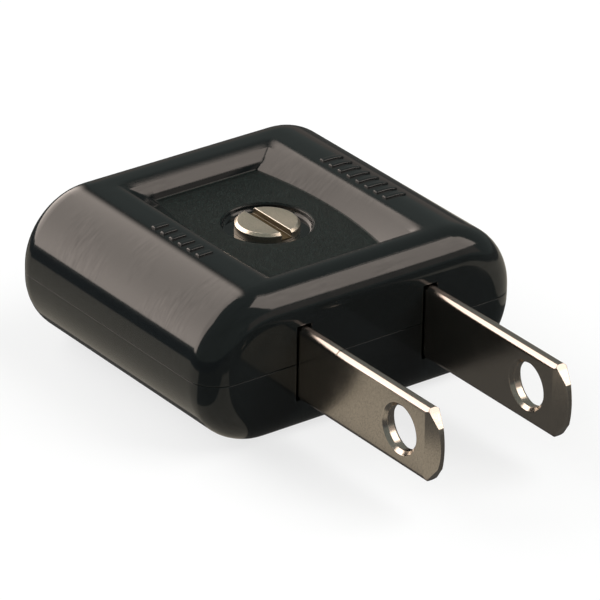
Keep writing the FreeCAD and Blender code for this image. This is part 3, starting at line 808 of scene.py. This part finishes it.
class PLUG_OT_metal(bpy.types.Operator):
    """Give the blades, screw, nut and inner contacts their metal finishes"""
    bl_idname = "plug.metal"
    bl_label = "Finish the metal parts"

    def execute(self, context):
        look = context.scene.plug_metal
        blade = plated_metal(
            "Nickel plate on stamped blades", look.nickel, look.roughness, look, stamped_edges)
        screw = plated_metal("Plated screw steel", look.screw, look.screw_roughness, look, slot_with_painted_shade)
        brass = plated_metal("Rolled brass", look.brass, look.screw_roughness, look)
        steel = plated_metal("Spring steel", look.steel, look.screw_roughness, look)
        for side in ("left_", "right_"):
            dress(side + "blade", blade)
            dress(side + "sleeve", brass)
            dress(side + "rivet", brass)
            dress(side + "clip", steel)
        dress("closing_screw", screw)
        dress("closing_nut", screw)
        return {"FINISHED"}


class PLUG_OT_ribs(bpy.types.Operator):
    """Model the two rows of raised ribs on the rims beside the recess"""
    bl_idname = "plug.ribs"
    bl_label = "Model the rim ribs"

    def execute(self, context):
        sets = context.scene.plug_ribs
        rows = (
            ("left_rim_ribs", -1, sets.left_inner, sets.left_outer, sets.left_start, sets.left_count),
            ("right_rim_ribs", 1, sets.right_inner, sets.right_outer, sets.right_start, sets.right_count),
        )
        for row in rows:
            piece = rib_row(sets, *row)
            piece.data.materials.append(bpy.data.materials["Black moulded plastic"])
            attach(piece, "root")
        return {"FINISHED"}


def floor_disc(sets):
    """Plain pale floor under the plug."""
    deselect_all()
    bpy.ops.mesh.primitive_circle_add(
        vertices=96, radius=STAGE_REACH, fill_type="NGON", location=(0, 0, FLOOR_Z))
    floor = bpy.context.object
    bpy.ops.object.transform_apply(location=True, rotation=True, scale=True)
    floor.name = "floor"
    material, tree, shader = new_material("Pale floor", sets.floor_colour)
    path = node(tree, "ShaderNodeLightPath")
    darker = scaled(sets.floor_colour, 1 - sets.floor_glow)
    seen = blend_colours(tree, path.outputs["Is Camera Ray"], sets.floor_colour, darker)
    link(tree, seen, shader.inputs["Base Color"])
    glow = maths(tree, "MULTIPLY", path.outputs["Is Camera Ray"], sets.floor_glow)
    link(tree, glow, shader.inputs["Emission Strength"])
    shader.inputs["Emission Color"].default_value = (1, 1, 1, 1)
    shader.inputs["Roughness"].default_value = 0.8
    shader.inputs["Specular IOR Level"].default_value = 0.1
    floor.data.materials.append(material)


def aim(direction, target):
    """Matrix of a lamp or card in a direction from the target, facing it."""
    away = Vector(direction).normalized()
    turn = away.to_track_quat("Z", "Y")
    return Matrix.Translation(target + away * STAND_OFF) @ turn.to_matrix().to_4x4()


def upright(place):
    """Matrix of a card that stands on edge at a place, facing the plug."""
    return Matrix.Translation(place) @ Matrix.Rotation(math.radians(90), 4, "X")


def soft_box(name, place, width, height, brightness):
    """Large area lamp that gloss doesn't see; brightness is the radiance of its face."""
    lamp = bpy.data.lights.new(name, "AREA")
    lamp.shape = "RECTANGLE"
    lamp.size = width
    lamp.size_y = height
    lamp.energy = brightness * math.pi * width * height
    obj = bpy.data.objects.new(name, lamp)
    obj.matrix_world = place
    obj.visible_camera = False
    obj.visible_glossy = False
    bpy.context.scene.collection.objects.link(obj)


def only_in_gloss(card):
    """Let reflections alone see a card, as photographers stand cards round a glossy object."""
    card.visible_camera = False
    card.visible_diffuse = False
    card.visible_transmission = False
    card.visible_shadow = False


def glow_material(name, colour, brightness):
    """Material that only glows; gives it with its tree and shader."""
    material, tree, shader = new_material(name, colour)
    shader.inputs["Base Color"].default_value = (0, 0, 0, 1)
    shader.inputs["Specular IOR Level"].default_value = 0.0
    shader.inputs["Emission Color"].default_value = (*colour, 1)
    shader.inputs["Emission Strength"].default_value = brightness
    return material, tree, shader


def glowing_floor_card(name, low, high, lift, colour):
    """Flat card just above the floor that glows in its colour as a painted reflection, between two
    corners in millimetres.
    """
    deselect_all()
    near, far = Vector(low) * MM, Vector(high) * MM
    middle = (near + far) / 2
    bpy.ops.mesh.primitive_plane_add(size=1, location=(middle.x, middle.y, FLOOR_Z + lift))
    card = bpy.context.object
    bpy.ops.transform.resize(value=(far.x - near.x, far.y - near.y, 1))
    bpy.ops.object.transform_apply(location=True, rotation=True, scale=True)
    card.name = name
    card.data.materials.append(glow_material(name, colour, brightness=1.0)[0])
    only_in_gloss(card)


def uneven_glow(tree, shader, brightness, upper_share, feather):
    """Dim a card's glow towards its upper half and fade it at both sides."""
    coordinates = node(tree, "ShaderNodeTexCoord")
    split = node(tree, "ShaderNodeSeparateXYZ")
    link(tree, coordinates.outputs["Object"], split.inputs[0])
    dim = smooth_step(
        tree, split.outputs["Y"], low=-0.40, high=0.02,
        at_low=brightness, at_high=brightness * upper_share)
    from_middle = maths(tree, "ABSOLUTE", split.outputs["X"])
    fade = smooth_step(tree, from_middle, low=0.5, high=0.5 - feather)
    strength = maths(tree, "MULTIPLY", dim, fade)
    link(tree, strength, shader.inputs["Emission Strength"])


def reflector(name, place, width, height, brightness, colour):
    """Large card that glows towards the plug; gives its tree and shader."""
    deselect_all()
    bpy.ops.mesh.primitive_plane_add(size=1, location=(0, 0, 0))
    card = bpy.context.object
    card.name = name
    card.matrix_world = place @ Matrix.Diagonal((width, height, 1, 1))
    material, tree, shader = glow_material(name, colour, brightness)
    card.data.materials.append(material)
    only_in_gloss(card)
    return tree, shader


def studio_lamps(sets, target):
    """Two soft boxes for the floor and the matt surfaces."""
    back = aim((-0.40, 0.80, 0.44), target)
    soft_box("back_soft_box", back, width=1.15, height=0.8, brightness=sets.back_light)
    front = aim((0.55, -0.45, 0.70), target)
    soft_box("front_soft_box", front, width=0.7, height=0.9, brightness=sets.front_light)


def studio_reflectors(sets, target):
    """Four glowing cards for the gloss; the one behind dims upwards and has soft sides."""
    warm = sets.glow_colour
    behind = upright((-0.57, 1.0, 0.908))
    tree, shader = reflector("back_reflector", behind, 2.16, 1.684, sets.back_glow, warm)
    uneven_glow(tree, shader, sets.back_glow, upper_share=0.78, feather=0.08)
    over_front = aim((0.557, -0.415, 0.719), target)
    reflector("front_reflector", over_front, 0.584, 0.92, sets.front_glow, warm)
    low_front = aim((0.537, -0.80, 0.25), target)
    reflector("low_front_reflector", low_front, 0.9, 0.30, sets.low_glow, warm)
    beyond = upright((1.0, 1.0, 0.10))
    reflector("far_reflector", beyond, 0.9, 0.36, sets.far_glow, warm)


def glowing_floor_cards(sets):
    """Glowing cards round the plug, which only gloss sees: painted reflections of a dark table in shade
    and of grey papers.
    """
    reach = STAGE_REACH / MM
    paper = sets.paper_glow
    # Painted shade: the card by the near blade glows dimmer, as if the body shaded it.
    shaded_blade_paper = scaled(paper, sets.blade_paper_shade_share)
    # Painted reflection: a dark glowing table card under the whole stage stands for the table in shade.
    glowing_floor_card("table", (-reach, -reach), (reach, reach), 0.05 * MM, sets.dark_table_glow)
    for name, low, high, colour in (
        ("dark_far_side", (-reach, -reach), (-43, reach), sets.far_side_glow),
        ("paper_beside", (-43, 4.5), (-14, 70), paper),
        ("paper_by_blade", (-19, -20), (-11, 4.5), shaded_blade_paper),
        ("paper_right", (24, -30), (80, 40), paper),
    ):
        glowing_floor_card(name, low, high, 0.1 * MM, colour)


def studio_world(sets):
    """Dim room, with a white backdrop behind everything that the camera sees."""
    world = bpy.data.worlds.new("Studio")
    bpy.context.scene.world = world
    world.use_nodes = True
    tree = world.node_tree
    background = tree.nodes["Background"]
    path = node(tree, "ShaderNodeLightPath")
    strength = blend_values(tree, path.outputs["Is Camera Ray"], sets.room, 1.0)
    link(tree, strength, background.inputs["Strength"])
    backdrop = blend_colours(tree, path.outputs["Is Camera Ray"], sets.room_colour, (1, 1, 1))
    link(tree, backdrop, background.inputs["Color"])


def camera_matrix(sets):
    """Place of the camera from its angles, roll, distance and target."""
    turn, rise, roll = sets.azimuth, sets.elevation, sets.roll
    back = Vector((math.sin(turn) * math.cos(rise), -math.cos(turn) * math.cos(rise), math.sin(rise)))
    right = Vector((math.cos(turn), math.sin(turn), 0))
    up = back.cross(right)
    rolled_right = right * math.cos(roll) + up * math.sin(roll)
    rolled_up = up * math.cos(roll) - right * math.sin(roll)
    turned = Matrix((rolled_right, rolled_up, back)).transposed()
    return Matrix.Translation(Vector(sets.target) + back * sets.distance) @ turned.to_4x4()


def studio_camera(sets):
    """Camera at the photograph's place."""
    camera = bpy.data.cameras.new("Camera")
    camera.lens = sets.lens
    camera.sensor_width = sets.sensor
    camera.clip_start = 0.01
    obj = bpy.data.objects.new("Camera", camera)
    obj.matrix_world = camera_matrix(sets)
    bpy.context.scene.collection.objects.link(obj)
    bpy.context.scene.camera = obj


class PLUG_OT_studio(bpy.types.Operator):
    """Set up the floor, lamps, reflectors, world and camera"""
    bl_idname = "plug.studio"
    bl_label = "Set up the studio"

    def execute(self, context):
        sets = context.scene.plug_studio
        target = Vector((0, (BODY_LOW.y + BODY_HIGH.y) / 2, 0))
        floor_disc(sets)
        studio_lamps(sets, target)
        studio_reflectors(sets, target)
        glowing_floor_cards(sets)
        studio_world(sets)
        studio_camera(sets)
        context.scene.view_settings.view_transform = "Standard"
        return {"FINISHED"}


class PLUG_PT_panel(bpy.types.Panel):
    """Sizes, finishes and steps of the adapter plug"""
    bl_idname = "PLUG_PT_panel"
    bl_label = "Adapter plug"
    bl_space_type = "VIEW_3D"
    bl_region_type = "UI"
    bl_category = "Plug"

    def draw(self, context):
        for group, settings in SETTINGS:
            box = self.layout.box()
            for name in settings.__annotations__:
                box.prop(getattr(context.scene, group), name)
        for operator in OPERATORS:
            self.layout.operator(operator.bl_idname)


OPERATORS = (PLUG_OT_groups, PLUG_OT_shells, PLUG_OT_metal, PLUG_OT_ribs, PLUG_OT_studio)
SETTINGS = (
    ("plug_plastic", PlasticLook),
    ("plug_metal", MetalLook),
    ("plug_ribs", RimRibs),
    ("plug_studio", StudioSet),
)


def register():
    """Make the settings, steps and panel known to Blender."""
    for name, settings in SETTINGS:
        bpy.utils.register_class(settings)
        setattr(bpy.types.Scene, name, PointerProperty(type=settings))
    for operator in OPERATORS:
        bpy.utils.register_class(operator)
    bpy.utils.register_class(PLUG_PT_panel)


def unregister():
    """Take them away again."""
    bpy.utils.unregister_class(PLUG_PT_panel)
    for operator in reversed(OPERATORS):
        bpy.utils.unregister_class(operator)
    for name, settings in reversed(SETTINGS):
        delattr(bpy.types.Scene, name)
        bpy.utils.unregister_class(settings)


def main():
    """Dress the plug and set up its studio."""
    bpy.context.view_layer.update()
    register()
    bpy.ops.plug.groups()
    bpy.ops.plug.shells()
    bpy.ops.plug.metal()
    bpy.ops.plug.ribs()
    bpy.ops.plug.studio()


if __name__ == "__main__":
    main()
